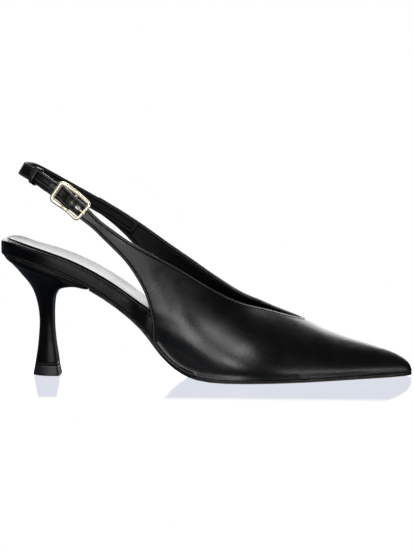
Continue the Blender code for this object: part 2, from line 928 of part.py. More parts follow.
def ribbon(name, places, lanes, thickness, paint, skip=()):
    """A strap along the sling's middle line, from its places (reach, out) and its lanes across."""
    rows = [[sling_point(reach, lane, out) for lane in lanes] for reach, out in places]
    points, faces = sheet(rows, skip)
    made = make_object(name, points, faces, paint)
    solidify(made, thickness, 0)
    return made


def make_sling_strap(paint):
    reaches = np.linspace(sling_reach[0] + 1.5, sling_outer_end, 60)
    lanes = (-sling_width / 2, 0, sling_width / 2)
    return ribbon("sling_strap", [(r, 0) for r in reaches], lanes, sling_thickness, paint)


def make_elastic(paint):
    """The elastic's fold round the middle bar, slotted for the prong, and its two layers."""
    lead = [(r, elastic_out) for r in np.linspace(elastic_outer_end, -hump_reach, 7)]
    under_strap = strap_hump - (middle_bar_out + fold_radius)
    climb = [
        (r, max(elastic_out, strap_centre(r) - under_strap)) for r in np.linspace(-hump_reach, 0, 9)[1:]
    ]
    fold = []
    for k in range(1, 8):
        angle = math.pi / 2 - math.pi * k / 8
        fold.append((fold_radius * math.cos(angle), middle_bar_out + fold_radius * math.sin(angle)))
    below = middle_bar_out - fold_radius
    back = min(elastic_under, below)
    sink = [(r, below + (back - below) * float(smooth_step(-r / 5))) for r in np.linspace(0, -5, 5)]
    tail = [(r, back) for r in np.linspace(-5, elastic_inner_end, 5)[1:]]
    places = lead + climb + fold + sink + tail
    slot = prong_radius + 2.4 * clearance
    low, high = elastic_shift - elastic_width / 2, elastic_shift + elastic_width / 2
    lanes = (low, (low + prong_shift - slot) / 2, prong_shift - slot, prong_shift + slot, high)
    skip = set()
    for i in range(len(lead) + 1, len(lead + climb + fold + sink) - 1):
        if max(-places[i][0], -places[i + 1][0]) < ring_radius + prong_radius + 3 * clearance:
            skip.add((i, 2))
    return ribbon("elastic", places, lanes, elastic_thickness, paint, skip)


def tube(name, path, radii, paint, sides=8, closed=False):
    """A round bar along a path, with a radius for each point."""
    path = [np.asarray(p, float) for p in path]
    count = len(path)
    points, faces = [], []
    normal = None
    for i, place in enumerate(path):
        ahead = path[(i + 1) % count] if closed or i + 1 < count else place
        behind = path[i - 1] if closed or i > 0 else place
        direction = ahead - behind
        direction /= np.linalg.norm(direction)
        if normal is None:
            normal = np.cross(direction, [0.3, 0.2, 0.9])
        normal = normal - direction * normal.dot(direction)
        normal /= np.linalg.norm(normal)
        other = np.cross(direction, normal)
        for k in range(sides):
            angle = 2 * math.pi * k / sides
            points.append(place + radii[i] * (math.cos(angle) * normal + math.sin(angle) * other))
    if closed:
        turn = best_turn(points, count, sides)
    for i in range(count if closed else count - 1):
        j = (i + 1) % count
        shift = turn if closed and j == 0 else 0
        for k in range(sides):
            m = (k + 1) % sides
            ahead, ahead_m = (k + shift) % sides, (m + shift) % sides
            faces.append((i * sides + k, i * sides + m, j * sides + ahead_m, j * sides + ahead))
    if not closed:
        faces.append(tuple(range(sides)))
        faces.append(tuple(range((count - 1) * sides, count * sides)))
    return make_object(name, points, faces, paint)


def best_turn(points, count, sides):
    """How many sides the last ring of a closed tube is turned against the first."""
    last = points[(count - 1) * sides]
    return min(range(sides), key=lambda k: np.linalg.norm(points[k] - last))


def buckle_point(reach, across):
    """A point on the buckle's frame, whose two halves rise from its middle bar."""
    level = middle_bar_out + buckle_drop * abs(reach) / (front_bar_reach if reach > 0 else rear_bar_reach)
    return sling_point(reach, prong_shift + across, level)


def make_buckle_frame(paint):
    """A rounded frame of two bent halves, joined by the middle bar."""
    corner = buckle_corner - buckle_bar_radius
    path = []
    for ends, side, start in ((front_bar_reach, 1, 0), (-rear_bar_reach, 1, 90),
                              (-rear_bar_reach, -1, 180), (front_bar_reach, -1, 270)):
        centre = (ends - math.copysign(corner, ends), side * (bar_across - corner))
        for k in range(5):
            angle = math.radians(start + 22.5 * k)
            path.append((centre[0] + corner * math.cos(angle), centre[1] + corner * math.sin(angle)))
        if ends * side > 0:
            across = side * bar_across
            other = -rear_bar_reach + corner if ends > 0 else front_bar_reach - corner
            path += [(centre[0] * (1 - k / 3), across) for k in (1, 2, 3)]
            path += [(other * k / 3, across) for k in (1, 2)]
    swell = rear_bar_radius - buckle_bar_radius
    radii = [buckle_bar_radius + swell * float(smooth_step(-2 * p[0] / rear_bar_reach)) for p in path]
    places = [buckle_point(*p) for p in path]
    frame = tube("buckle_frame", places, radii, paint, sides=10, closed=True)
    ends = [buckle_point(0, bar_across * k / 4) for k in range(-4, 5)]
    bar = tube("middle_bar", ends, [middle_bar_radius] * len(ends), paint, sides=10)
    bar.hide_render = True
    bar.display_type = "WIRE"
    join = frame.modifiers.new("middle_bar", "BOOLEAN")
    join.operation = "UNION"
    join.object = bar
    return frame


def make_prong(paint):
    """The prong: a ring round the middle bar, then a shank up through the strap to the front bar."""
    path = []
    for degrees in range(50, 271, 20):
        angle = math.radians(degrees)
        path.append((ring_radius * math.cos(angle), middle_bar_out + ring_radius * math.sin(angle)))
    over = bar_out + buckle_bar_radius + clearance + prong_radius
    low = middle_bar_out - ring_radius
    for reach, share in zip(prong_rise["reach"], prong_rise["share"]):
        path.append((reach, low + (over - low) * share))
    path.append((front_bar_reach + 0.2, over))
    path.append((front_bar_reach + 1.4, over - 0.1))
    radii = [prong_radius] * (len(path) - 2) + [prong_radius, prong_tip_radius * 0.7]
    return tube("buckle_prong", [sling_point(r, prong_shift, out) for r, out in path], radii, paint)


def make_keeper(paint):
    """The keeper, a flat loop that holds the strap's end to the sling."""
    inner_in = -sling_thickness / 2 - clearance
    inner_out = strap_over_sling + strap_half + clearance
    shift = float(monotone(strap_shift, "reach", "shift", keeper_reach))
    bottom = -sling_width / 2 - clearance
    top = max(shift + strap_half_width(keeper_reach), sling_width / 2) + 1.5 * clearance
    reaches = np.linspace(keeper_reach - keeper_width / 2, keeper_reach + keeper_width / 2, 3)
    step_out = sling_thickness / 2 + 2 * clearance
    corners = [
        (bottom, inner_in),
        (bottom, step_out),
        (shift - strap_half_width(keeper_reach) - 2 * clearance, inner_out),
        (shift, inner_out),
        (top, inner_out),
        (top, (inner_in + inner_out) / 2),
        (top, inner_in),
        ((top + bottom) / 2, inner_in),
    ]
    points, faces = [], []
    count = len(corners)
    for reach in reaches:
        for across, out in corners:
            points.append(sling_point(reach, across, out))
    for i in range(len(reaches) - 1):
        for k in range(count):
            m = (k + 1) % count
            faces.append((i * count + k, i * count + m, (i + 1) * count + m, (i + 1) * count + k))
    made = make_object("keeper", points, faces, paint)
    solidify(made, keeper_wall, 1)
    return made


def rest_on_origin(objects):
    """Moves the shoe so that its box stands on the origin, through one parent."""
    graph = bpy.context.evaluated_depsgraph_get()
    low, high = np.full(3, np.inf), np.full(3, -np.inf)
    for made in objects:
        mesh = made.evaluated_get(graph).to_mesh()
        places = np.array([v.co[:] for v in mesh.vertices])
        low, high = np.minimum(low, places.min(axis=0)), np.maximum(high, places.max(axis=0))
    stand = bpy.data.objects.new("shoe", None)
    bpy.context.scene.collection.objects.link(stand)
    stand.location = (-(low[0] + high[0]) / 2, -(low[1] + high[1]) / 2, -low[2])
    for made in bpy.context.scene.collection.objects:
        if made is not stand:
            made.parent = stand
    bpy.context.view_layer.update()


def main():
    for old in list(bpy.data.objects):
        bpy.data.objects.remove(old, do_unlink=True)
    leather = material("black_leather", (0.012, 0.012, 0.013), 0.38)
    wrapped = material("wrapped_leather", (0.011, 0.011, 0.012), 0.3)
    sole = material("sole_leather", (0.09, 0.05, 0.03), 0.5)
    rubber = material("black_rubber", (0.01, 0.01, 0.01), 0.55)
    stretch = material("black_elastic", (0.02, 0.02, 0.022), 0.8)
    gold = material("pale_gold", (0.86, 0.74, 0.5), 0.18, 1.0)
    objects = [
        make_outsole(sole),
        make_footbed(wrapped),
        make_sock_lining(wrapped),
        make_heel(wrapped),
        make_top_lift(rubber),
        make_upper(leather),
        make_sling_strap(leather),
        make_elastic(stretch),
        make_keeper(leather),
        make_buckle_frame(gold),
        make_prong(gold),
    ]
    rest_on_origin(objects)


main()
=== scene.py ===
# Slingback pump, right foot: leather, stitching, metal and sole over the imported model.
# All lengths are in metres, along the model's own axes: X to the toe, Y to the inner side, Z up.

import json
import math

import bmesh
import bpy
import numpy as np
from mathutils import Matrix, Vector
from mathutils.bvhtree import BVHTree
from mathutils.kdtree import KDTree

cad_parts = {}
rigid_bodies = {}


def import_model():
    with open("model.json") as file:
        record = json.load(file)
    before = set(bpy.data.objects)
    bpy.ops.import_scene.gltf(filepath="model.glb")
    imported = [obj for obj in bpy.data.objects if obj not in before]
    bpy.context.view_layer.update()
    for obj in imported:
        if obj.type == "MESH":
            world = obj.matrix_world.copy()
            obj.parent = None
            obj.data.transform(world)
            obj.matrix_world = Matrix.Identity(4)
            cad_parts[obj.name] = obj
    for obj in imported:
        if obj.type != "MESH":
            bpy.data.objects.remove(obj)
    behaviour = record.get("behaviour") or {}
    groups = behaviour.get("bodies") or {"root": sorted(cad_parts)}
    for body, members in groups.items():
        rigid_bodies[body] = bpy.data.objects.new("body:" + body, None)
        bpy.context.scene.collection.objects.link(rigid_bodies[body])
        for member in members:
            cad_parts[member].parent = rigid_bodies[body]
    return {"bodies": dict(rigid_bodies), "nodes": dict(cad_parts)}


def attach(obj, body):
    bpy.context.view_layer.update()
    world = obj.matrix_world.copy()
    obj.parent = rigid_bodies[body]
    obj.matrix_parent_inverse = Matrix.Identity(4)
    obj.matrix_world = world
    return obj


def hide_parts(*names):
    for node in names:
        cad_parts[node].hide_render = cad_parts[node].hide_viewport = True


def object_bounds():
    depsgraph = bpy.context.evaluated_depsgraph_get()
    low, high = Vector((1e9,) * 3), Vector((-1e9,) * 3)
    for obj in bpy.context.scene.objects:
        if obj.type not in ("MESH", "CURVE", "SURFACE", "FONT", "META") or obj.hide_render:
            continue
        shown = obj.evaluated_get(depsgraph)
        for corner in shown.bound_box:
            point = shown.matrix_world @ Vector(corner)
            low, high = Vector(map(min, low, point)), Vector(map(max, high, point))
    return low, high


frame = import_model()
cadLow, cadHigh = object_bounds()
body = list(frame["bodies"])[0]
shoeLength = cadHigh.x - cadLow.x
print("Loaded the model,", len(frame["nodes"]), "nodes")


# Shader helpers
def newMaterial(name, colour, roughness):
    made = bpy.data.materials.new(name)
    made.use_nodes = True
    shader = made.node_tree.nodes["Principled BSDF"]
    shader.inputs["Base Color"].default_value = shade(colour)
    shader.inputs["Roughness"].default_value = roughness
    return made, made.node_tree.nodes, made.node_tree.links, shader


def shade(colour, share=1.0):
    return (*(c * share for c in colour), 1)


# Gives a socket a value, or a link where the value comes out of another node
def feed(links, socket, value):
    if hasattr(value, "is_output"):
        links.new(value, socket)
    else:
        socket.default_value = value


def objectPlace(nodes):
    return nodes.new("ShaderNodeTexCoord").outputs["Object"]


def mathNode(nodes, links, kind, first, second=0.0):
    made = nodes.new("ShaderNodeMath")
    made.operation = kind
    feed(links, made.inputs[0], first)
    feed(links, made.inputs[1], second)
    return made.outputs[0]


def mapRange(nodes, links, value, fromLow, fromHigh, toLow, toHigh):
    made = nodes.new("ShaderNodeMapRange")
    made.interpolation_type = "SMOOTHSTEP"
    links.new(value, made.inputs["Value"])
    for name, number in zip(("From Min", "From Max", "To Min", "To Max"), (fromLow, fromHigh, toLow, toHigh)):
        made.inputs[name].default_value = number
    return made.outputs[0]


def mixColours(nodes, links, factor, first, second):
    made = nodes.new("ShaderNodeMix")
    made.data_type = "RGBA"
    for name, value in (("Factor", factor), ("A", first), ("B", second)):
        feed(links, made.inputs[name], value)
    return made.outputs["Result"]


def noiseNode(nodes, links, place, scale, detail):
    made = nodes.new("ShaderNodeTexNoise")
    links.new(place, made.inputs["Vector"])
    feed(links, made.inputs["Scale"], scale)
    made.inputs["Detail"].default_value = detail
    return made.outputs


def ribsNode(nodes, links, place, scale):
    made = nodes.new("ShaderNodeTexWave")
    made.bands_direction = "DIAGONAL"
    links.new(place, made.inputs["Vector"])
    made.inputs["Scale"].default_value = scale
    return made.outputs["Fac"]


def bumpNode(nodes, links, height, depth, before=None):
    made = nodes.new("ShaderNodeBump")
    made.inputs["Distance"].default_value = depth
    links.new(height, made.inputs["Height"])
    if before is not None:
        links.new(before, made.inputs["Normal"])
    return made.outputs[0]


def newGroup(name, inputs, outputs):
    group = bpy.data.node_groups.new(name, "ShaderNodeTree")
    for label, kind, value in inputs:
        socket = group.interface.new_socket(label, in_out="INPUT", socket_type="NodeSocket" + kind)
        if value is not None:
            socket.default_value = value
    for label, kind in outputs:
        group.interface.new_socket(label, in_out="OUTPUT", socket_type="NodeSocket" + kind)
    return group, group.nodes.new("NodeGroupInput").outputs, group.nodes.new("NodeGroupOutput").inputs


def placeGroup(nodes, group, **values):
    made = nodes.new("ShaderNodeGroup")
    made.node_tree = group
    for name, value in values.items():
        made.inputs[name.capitalize()].default_value = value
    return made


# Fine pebble of smooth calf leather: cells that a noise bends and softens, and slow waves
grainLook = {
    "smoothness": 0.6,
    "bendScale": 0.45,
    "bendReach": 0.0009,
    "bendHeight": 0.7,
    "bendDetail": 3.0,
    "cellReach": 0.75,
    "waveDetail": 4.0,
    "waveRange": (0.3, 0.7),
}


# Puts out the pebble's height and a mottling mask
def buildGrainGroup(look):
    group, given, result = newGroup(
        "leatherGrain",
        [("Place", "Vector", None), ("Pebble", "Float", 1100.0), ("Waves", "Float", 90.0)],
        [("Height", "Float"), ("Mottle", "Float")],
    )
    nodes, links = group.nodes, group.links
    bendScale = mathNode(nodes, links, "MULTIPLY", given["Pebble"], look["bendScale"])
    bend = noiseNode(nodes, links, given["Place"], bendScale, look["bendDetail"])
    waves = noiseNode(nodes, links, given["Place"], given["Waves"], look["waveDetail"])
    shift = nodes.new("ShaderNodeVectorMath")
    shift.operation = "MULTIPLY_ADD"
    links.new(bend["Color"], shift.inputs[0])
    shift.inputs[1].default_value = (look["bendReach"],) * 3
    links.new(given["Place"], shift.inputs[2])
    cells = nodes.new("ShaderNodeTexVoronoi")
    cells.feature = "SMOOTH_F1"
    cells.inputs["Smoothness"].default_value = look["smoothness"]
    links.new(shift.outputs[0], cells.inputs["Vector"])
    links.new(given["Pebble"], cells.inputs["Scale"])
    pebble = mapRange(nodes, links, cells.outputs["Distance"], 0.0, look["cellReach"], 1.0, 0.0)
    soft = mathNode(nodes, links, "MULTIPLY", bend["Fac"], look["bendHeight"])
    links.new(mathNode(nodes, links, "ADD", pebble, soft), result["Height"])
    links.new(mapRange(nodes, links, waves["Fac"], *look["waveRange"], 0.0, 1.0), result["Mottle"])
    return group


# The folded and stitched edge: the turned leather swells, then dips where the thread pulls it down.
# Places are shares of the way from the edge to the thread.
foldLook = {
    "swell": (0.0, 0.6),
    "flatten": (0.85, 1.2),
    "flatHeight": 0.3,
    "grooveDepth": 0.8,
    "rimStart": (0.12, 0.35),
    "rimEnd": (0.5, 0.75),
}


# Puts out the edge's height, the groove under the thread, and a band along the edge where a highlight is
# painted
def buildFoldGroup(look):
    group, given, result = newGroup(
        "foldedEdge",
        [("Distance", "Float", 1.0), ("Fold", "Float", 0.0019), ("Dip", "Float", 0.0007)],
        [("Height", "Float"), ("Groove", "Float"), ("RimHighlight", "Float")],
    )
    nodes, links = group.nodes, group.links
    offset = mathNode(nodes, links, "SUBTRACT", given["Distance"], given["Fold"])
    near = mathNode(nodes, links, "DIVIDE", mathNode(nodes, links, "ABSOLUTE", offset), given["Dip"])
    groove = mapRange(nodes, links, near, 0.0, 1.0, 1.0, 0.0)
    inside = mathNode(nodes, links, "DIVIDE", given["Distance"], given["Fold"])
    swell = mapRange(nodes, links, inside, *look["swell"], 0.0, 1.0)
    beyond = mapRange(nodes, links, inside, *look["flatten"], 1.0, look["flatHeight"])
    form = mathNode(nodes, links, "MULTIPLY", swell, beyond)
    drop = mathNode(nodes, links, "MULTIPLY", groove, look["grooveDepth"])
    links.new(mathNode(nodes, links, "SUBTRACT", form, drop), result["Height"])
    links.new(groove, result["Groove"])
    start = mapRange(nodes, links, inside, *look["rimStart"], 0.0, 1.0)
    end = mapRange(nodes, links, inside, *look["rimEnd"], 1.0, 0.0)
    links.new(mathNode(nodes, links, "MULTIPLY", start, end), result["RimHighlight"])
    return group


grainGroup = buildGrainGroup(grainLook)
foldGroup = buildFoldGroup(foldLook)

# The pale edge tone in each look is a painted highlight along its folded edges, where the rounded edge would
# catch the light
leatherLooks = {
    "upperLeather": dict(
        colour=(0.0021, 0.0021, 0.0023), roughness=0.29, specular=0.5, ior=1.5, pebble=1100.0, waves=75.0,
        grain=0.00002, fold=0.0016, rim=0.07, foldDepth=0.0005, hole=(-0.0651, -0.0285, 0.0963),
    ),
    "wrappedLeather": dict(
        colour=(0.0017, 0.0020, 0.0027), roughness=0.28, specular=0.16, ior=1.5, pebble=1300.0, waves=60.0,
        grain=0.00002, fold=0.0016, rim=0.03, foldDepth=0.00035,
    ),
    "liningLeather": dict(
        colour=(0.0016, 0.0015, 0.0015), roughness=0.48, specular=0.25, ior=1.5, pebble=1400.0, waves=90.0,
        grain=0.00004, fold=0.0021, rim=0.03, foldDepth=0.0006,
    ),
    "strapLeather": dict(
        colour=(0.0021, 0.0021, 0.0024), roughness=0.35, specular=0.5, ior=1.5, pebble=1100.0, waves=75.0,
        grain=0.00003, fold=0.0013, rim=0.03, foldDepth=0.00045,
    ),
    "sockLeather": dict(
        colour=(0.0075, 0.0075, 0.0080), roughness=0.26, specular=0.5, ior=1.2, pebble=1800.0, waves=40.0,
        grain=0.00003, fold=0.0012, rim=0.02, foldDepth=0.00012,
    ),
}

# How every leather wears, and the painted shade in its stitched dip: shares of its colour and gloss
wearAndShadeLook = {
    "deepDye": 0.8,
    "thinDye": 1.5,
    "dipWidth": 0.3,
    "dipShadeColour": 0.25,
    "dipShadeStrength": 0.3,
    "dipDull": 0.35,
    "glossSpread": (0.92, 1.1),
}

# The strap's spare hole, a shallow dent with a painted highlight ring: its radius, the dent as a
# share of the folded edge's depth, and places as shares of the radius
holeLook = {"reach": 0.0008, "dent": 0.12, "dentStart": 0.2, "ringStart": (0.3, 0.6), "ringEnd": (0.8, 1.0)}


def addHole(nodes, links, place, centre, rim, height, look):
    away = nodes.new("ShaderNodeVectorMath")
    away.operation = "DISTANCE"
    links.new(place, away.inputs[0])
    away.inputs[1].default_value = centre
    share = mathNode(nodes, links, "DIVIDE", away.outputs["Value"], look["reach"])
    dent = mapRange(nodes, links, share, look["dentStart"], 1.0, look["dent"], 0.0)
    # the ring is lightened in colour, a painted highlight joined to the one along the folded edge
    start = mapRange(nodes, links, share, *look["ringStart"], 0.0, 1.0)
    end = mapRange(nodes, links, share, *look["ringEnd"], 1.0, 0.0)
    ring = mathNode(nodes, links, "MULTIPLY", start, end)
    return mathNode(nodes, links, "MAXIMUM", rim, ring), mathNode(nodes, links, "SUBTRACT", height, dent)


def makeLeather(name, look, wearAndShade):
    base = look["colour"]
    made, nodes, links, shader = newMaterial(name, base, look["roughness"])
    place = objectPlace(nodes)
    distance = nodes.new("ShaderNodeAttribute")
    distance.attribute_name = "edgeDistance"
    grain = placeGroup(nodes, grainGroup, pebble=look["pebble"], waves=look["waves"])
    links.new(place, grain.inputs["Place"])
    mottle = grain.outputs["Mottle"]
    fold = placeGroup(nodes, foldGroup, fold=look["fold"], dip=look["fold"] * wearAndShade["dipWidth"])
    links.new(distance.outputs["Fac"], fold.inputs["Distance"])
    rim, height, groove = (fold.outputs[label] for label in ("RimHighlight", "Height", "Groove"))
    if "hole" in look:
        rim, height = addHole(nodes, links, place, look["hole"], rim, height, holeLook)
    # colour: a little lighter at random where the dye wore thin, painted shade in the stitched dip, and a
    # painted highlight along the folded edge
    dyed = mixColours(nodes, links, mottle, shade(base, wearAndShade["deepDye"]), shade(base, wearAndShade["thinDye"]))
    grooveShade = mathNode(nodes, links, "MULTIPLY", groove, wearAndShade["dipShadeStrength"])
    grooveShaded = mixColours(nodes, links, grooveShade, dyed, shade(base, wearAndShade["dipShadeColour"]))
    rimHighlighted = mixColours(nodes, links, rim, grooveShaded, shade((look["rim"],) * 3))
    links.new(rimHighlighted, shader.inputs["Base Color"])
    # gloss: mottled, dull in the dip
    low, high = (look["roughness"] * share for share in wearAndShade["glossSpread"])
    gloss = mapRange(nodes, links, mottle, 0.0, 1.0, low, high)
    dull = mathNode(nodes, links, "MULTIPLY", groove, wearAndShade["dipDull"])
    links.new(mathNode(nodes, links, "ADD", gloss, dull), shader.inputs["Roughness"])
    shader.inputs["Specular IOR Level"].default_value = look["specular"]
    shader.inputs["IOR"].default_value = look["ior"]
    edge = bumpNode(nodes, links, height, look["foldDepth"])
    fine = bumpNode(nodes, links, grain.outputs["Height"], look["grain"], edge)
    links.new(fine, shader.inputs["Normal"])
    return made


goldLook = {
    "colour": (0.96, 0.86, 0.66),
    "roughness": 0.26,
    # glow: painted light, a faint glow in the gold's own colour
    "glow": 0.2,
    "brushing": 900.0,
    "detail": 6.0,
    "rubbed": (0.35, 0.7),
    "glossSpread": (0.75, 1.5),
    "depth": 0.000001,
}


def makeGold(look):
    made, nodes, links, shader = newMaterial("paleGold", look["colour"], look["roughness"])
    shader.inputs["Metallic"].default_value = 1.0
    # painted light: the buckle glows faintly in its own pale gold, standing in for light its metal would
    # reflect
    shader.inputs["Emission Color"].default_value = shade(look["colour"])
    shader.inputs["Emission Strength"].default_value = look["glow"]
    rub = noiseNode(nodes, links, objectPlace(nodes), look["brushing"], look["detail"])["Fac"]
    low, high = (look["roughness"] * share for share in look["glossSpread"])
    links.new(mapRange(nodes, links, rub, *look["rubbed"], low, high), shader.inputs["Roughness"])
    links.new(bumpNode(nodes, links, rub, look["depth"]), shader.inputs["Normal"])
    return made


rubberLook = {
    "colour": (0.012, 0.012, 0.013),
    "roughness": 0.42,
    "speckle": 2600.0,
    "detail": 3.0,
    "speckled": (0.3, 0.7),
    "gloss": (0.34, 0.55),
    "depth": 0.00003,
}


def makeRubber(look):
    made, nodes, links, shader = newMaterial("topLiftRubber", look["colour"], look["roughness"])
    speckle = noiseNode(nodes, links, objectPlace(nodes), look["speckle"], look["detail"])["Fac"]
    links.new(bumpNode(nodes, links, speckle, look["depth"]), shader.inputs["Normal"])
    links.new(mapRange(nodes, links, speckle, *look["speckled"], *look["gloss"]), shader.inputs["Roughness"])
    return made


elasticLook = {
    "colour": (0.012, 0.012, 0.013),
    "roughness": 0.75,
    "ribs": 1500.0,
    "depth": 0.0002,
    "sheen": 0.3,
}


def makeElasticWeave(look):
    made, nodes, links, shader = newMaterial("elasticWeave", look["colour"], look["roughness"])
    ribs = ribsNode(nodes, links, objectPlace(nodes), look["ribs"])
    links.new(bumpNode(nodes, links, ribs, look["depth"]), shader.inputs["Normal"])
    shader.inputs["Sheen Weight"].default_value = look["sheen"]
    return made


# Bare tan leather under the sole and along its lowest edge, black paint on the edge above
soleLook = {
    "under": (0.40, 0.29, 0.21),
    "edge": (0.006, 0.006, 0.006),
    "roughness": 0.42,
    "downward": (-0.75, -0.55),
    "bareEdge": (0.00035, 0.00065),
    "grain": 260.0,
    "grainDetail": 8.0,
    "grainRange": (0.3, 0.7),
    "tanSpread": (0.72, 1.15),
    "scuff": 420.0,
    "scuffDetail": 5.0,
    "scuffStretch": (0.12, 1.0, 1.0),
    "scuffRange": (0.35, 0.65),
    "gloss": (0.32, 0.55),
    "depth": 0.00006,
}


def makeSoleLeather(look):
    made, nodes, links, shader = newMaterial("soleLeather", look["under"], look["roughness"])
    place = objectPlace(nodes)
    facing = nodes.new("ShaderNodeSeparateXYZ")
    links.new(nodes.new("ShaderNodeNewGeometry").outputs["True Normal"], facing.inputs[0])
    flat = mapRange(nodes, links, facing.outputs["Z"], *look["downward"], 1.0, 0.0)
    height = nodes.new("ShaderNodeSeparateXYZ")
    links.new(place, height.inputs[0])
    bare = mapRange(nodes, links, height.outputs["Z"], *look["bareEdge"], 1.0, 0.0)
    fibre = noiseNode(nodes, links, place, look["grain"], look["grainDetail"])["Fac"]
    stretch = nodes.new("ShaderNodeMapping")
    stretch.inputs["Scale"].default_value = look["scuffStretch"]
    links.new(place, stretch.inputs["Vector"])
    scuff = noiseNode(nodes, links, stretch.outputs[0], look["scuff"], look["scuffDetail"])["Fac"]
    darkTan, paleTan = (shade(look["under"], share) for share in look["tanSpread"])
    fibres = mapRange(nodes, links, fibre, *look["grainRange"], 0.0, 1.0)
    tan = mixColours(nodes, links, fibres, darkTan, paleTan)
    paint = mixColours(nodes, links, mathNode(nodes, links, "MAXIMUM", flat, bare), shade(look["edge"]), tan)
    links.new(paint, shader.inputs["Base Color"])
    links.new(mapRange(nodes, links, scuff, *look["scuffRange"], *look["gloss"]), shader.inputs["Roughness"])
    links.new(bumpNode(nodes, links, scuff, look["depth"]), shader.inputs["Normal"])
    return made


threadLook = {
    "colour": (0.0012, 0.0012, 0.0012),
    "roughness": 0.6,
    "twist": 5200.0,
    "depth": 0.00004,
    "specular": 0.1,
}


def makeThread(look):
    made, nodes, links, shader = newMaterial("blackThread", look["colour"], look["roughness"])
    twist = ribsNode(nodes, links, objectPlace(nodes), look["twist"])
    links.new(bumpNode(nodes, links, twist, look["depth"]), shader.inputs["Normal"])
    shader.inputs["Specular IOR Level"].default_value = look["specular"]
    return made


materials = {name: makeLeather(name, look, wearAndShadeLook) for name, look in leatherLooks.items()}
materials["paleGold"] = makeGold(goldLook)
materials["topLiftRubber"] = makeRubber(rubberLook)
materials["elasticWeave"] = makeElasticWeave(elasticLook)
materials["soleLeather"] = makeSoleLeather(soleLook)
materials["blackThread"] = makeThread(threadLook)
print("Made", len(materials), "materials")


# How a node's triangles are made into a fine, smooth copy
copyLook = {
    "merge": 0.00001,
    "flatWithin": math.radians(50),
    "squareWithin": math.radians(80),
    "rows": 2,
    "rowWidth": 0.0022,
    "rowRoom": {1: 1.4, 2: 2.6},
    "smoothRounds": 3,
    "smoothReach": 0.0004,
}


def newObject(name, data):
    made = bpy.data.objects.new(name, data)
    bpy.context.scene.collection.objects.link(made)
    return made


# A fine copy of a node, with its sharp edges marked
def fineCopy(node, levels, crease):
    work = bmesh.new()
    work.from_mesh(frame["nodes"][node].data)
    bmesh.ops.remove_doubles(work, verts=work.verts[:], dist=copyLook["merge"])
    bmesh.ops.join_triangles(
        work, faces=work.faces[:],
        angle_face_threshold=copyLook["flatWithin"], angle_shape_threshold=copyLook["squareWithin"],
    )
    sharp = work.edges.layers.float.new("crease_edge")
    for edge in work.edges:
        if len(edge.link_faces) == 2 and edge.calc_face_angle(0) > math.radians(crease):
            edge[sharp] = 1.0
    if levels:
        for _ in range(copyLook["rows"]):
            addRows(work, sharp, copyLook["rowWidth"], copyLook["rowRoom"])
    mesh = bpy.data.meshes.new(node + "Fine")
    work.to_mesh(mesh)
    work.free()
    made = newObject(node + "Fine", mesh)
    if "custom_normal" in mesh.attributes:
        mesh.attributes.remove(mesh.attributes["custom_normal"])
    if levels:
        smoothThrough(made, levels, copyLook["smoothRounds"], copyLook["smoothReach"])
    made.data.materials.clear()
    return made


# Splits the faces beside the sharp edges, so that folds and seams there come out clean; an edge
# needs room for the new row, and more where both its ends are sharp
def addRows(work, sharp, width, room):
    rims = {v for edge in work.edges if edge[sharp] for v in edge.verts}
    added = []
    for edge in work.edges[:]:
        ends = [v for v in edge.verts if v in rims]
        length = edge.calc_length()
        if edge[sharp] or not ends or length < width * room[len(ends)]:
            continue
        start = max(ends, key=lambda v: v.co.z + 0.5 * v.co.y)  # the end that lies higher and further in
        added.append(bmesh.utils.edge_split(edge, start, width / length)[1])
    bmesh.ops.connect_verts(work, verts=added)


# Subdivides a mesh so that the smooth surface still passes close to its first points
def smoothThrough(made, levels, rounds, reach):
    smooth = made.modifiers.new("smooth", "SUBSURF")
    smooth.levels = smooth.render_levels = levels
    wanted = vertexPlaces(made.data)
    control = wanted.copy()
    for _ in range(rounds):
        bpy.context.view_layer.update()
        refined = made.evaluated_get(bpy.context.evaluated_depsgraph_get()).to_mesh()
        control += wanted - vertexPlaces(refined)[: len(wanted)]
        control = wanted + np.clip(control - wanted, -reach, reach)
        made.data.vertices.foreach_set("co", control.ravel())
        made.data.update()
    applyModifiers(made)


def applyModifiers(made):
    bpy.context.view_layer.update()
    applied = bpy.data.meshes.new_from_object(made.evaluated_get(bpy.context.evaluated_depsgraph_get()))
    made.modifiers.clear()
    made.data = applied


def roundEdges(made, width, angle, segments=2):
    bevel = made.modifiers.new("rounding", "BEVEL")
    bevel.width = width
    bevel.segments = segments
    bevel.limit_method = "ANGLE"
    bevel.angle_limit = math.radians(angle)
    applyModifiers(made)
    made.data.shade_smooth()


def vertexPlaces(mesh):
    places = np.zeros(len(mesh.vertices) * 3, np.float32)
    mesh.vertices.foreach_get("co", places)
    return places.reshape(-1, 3)


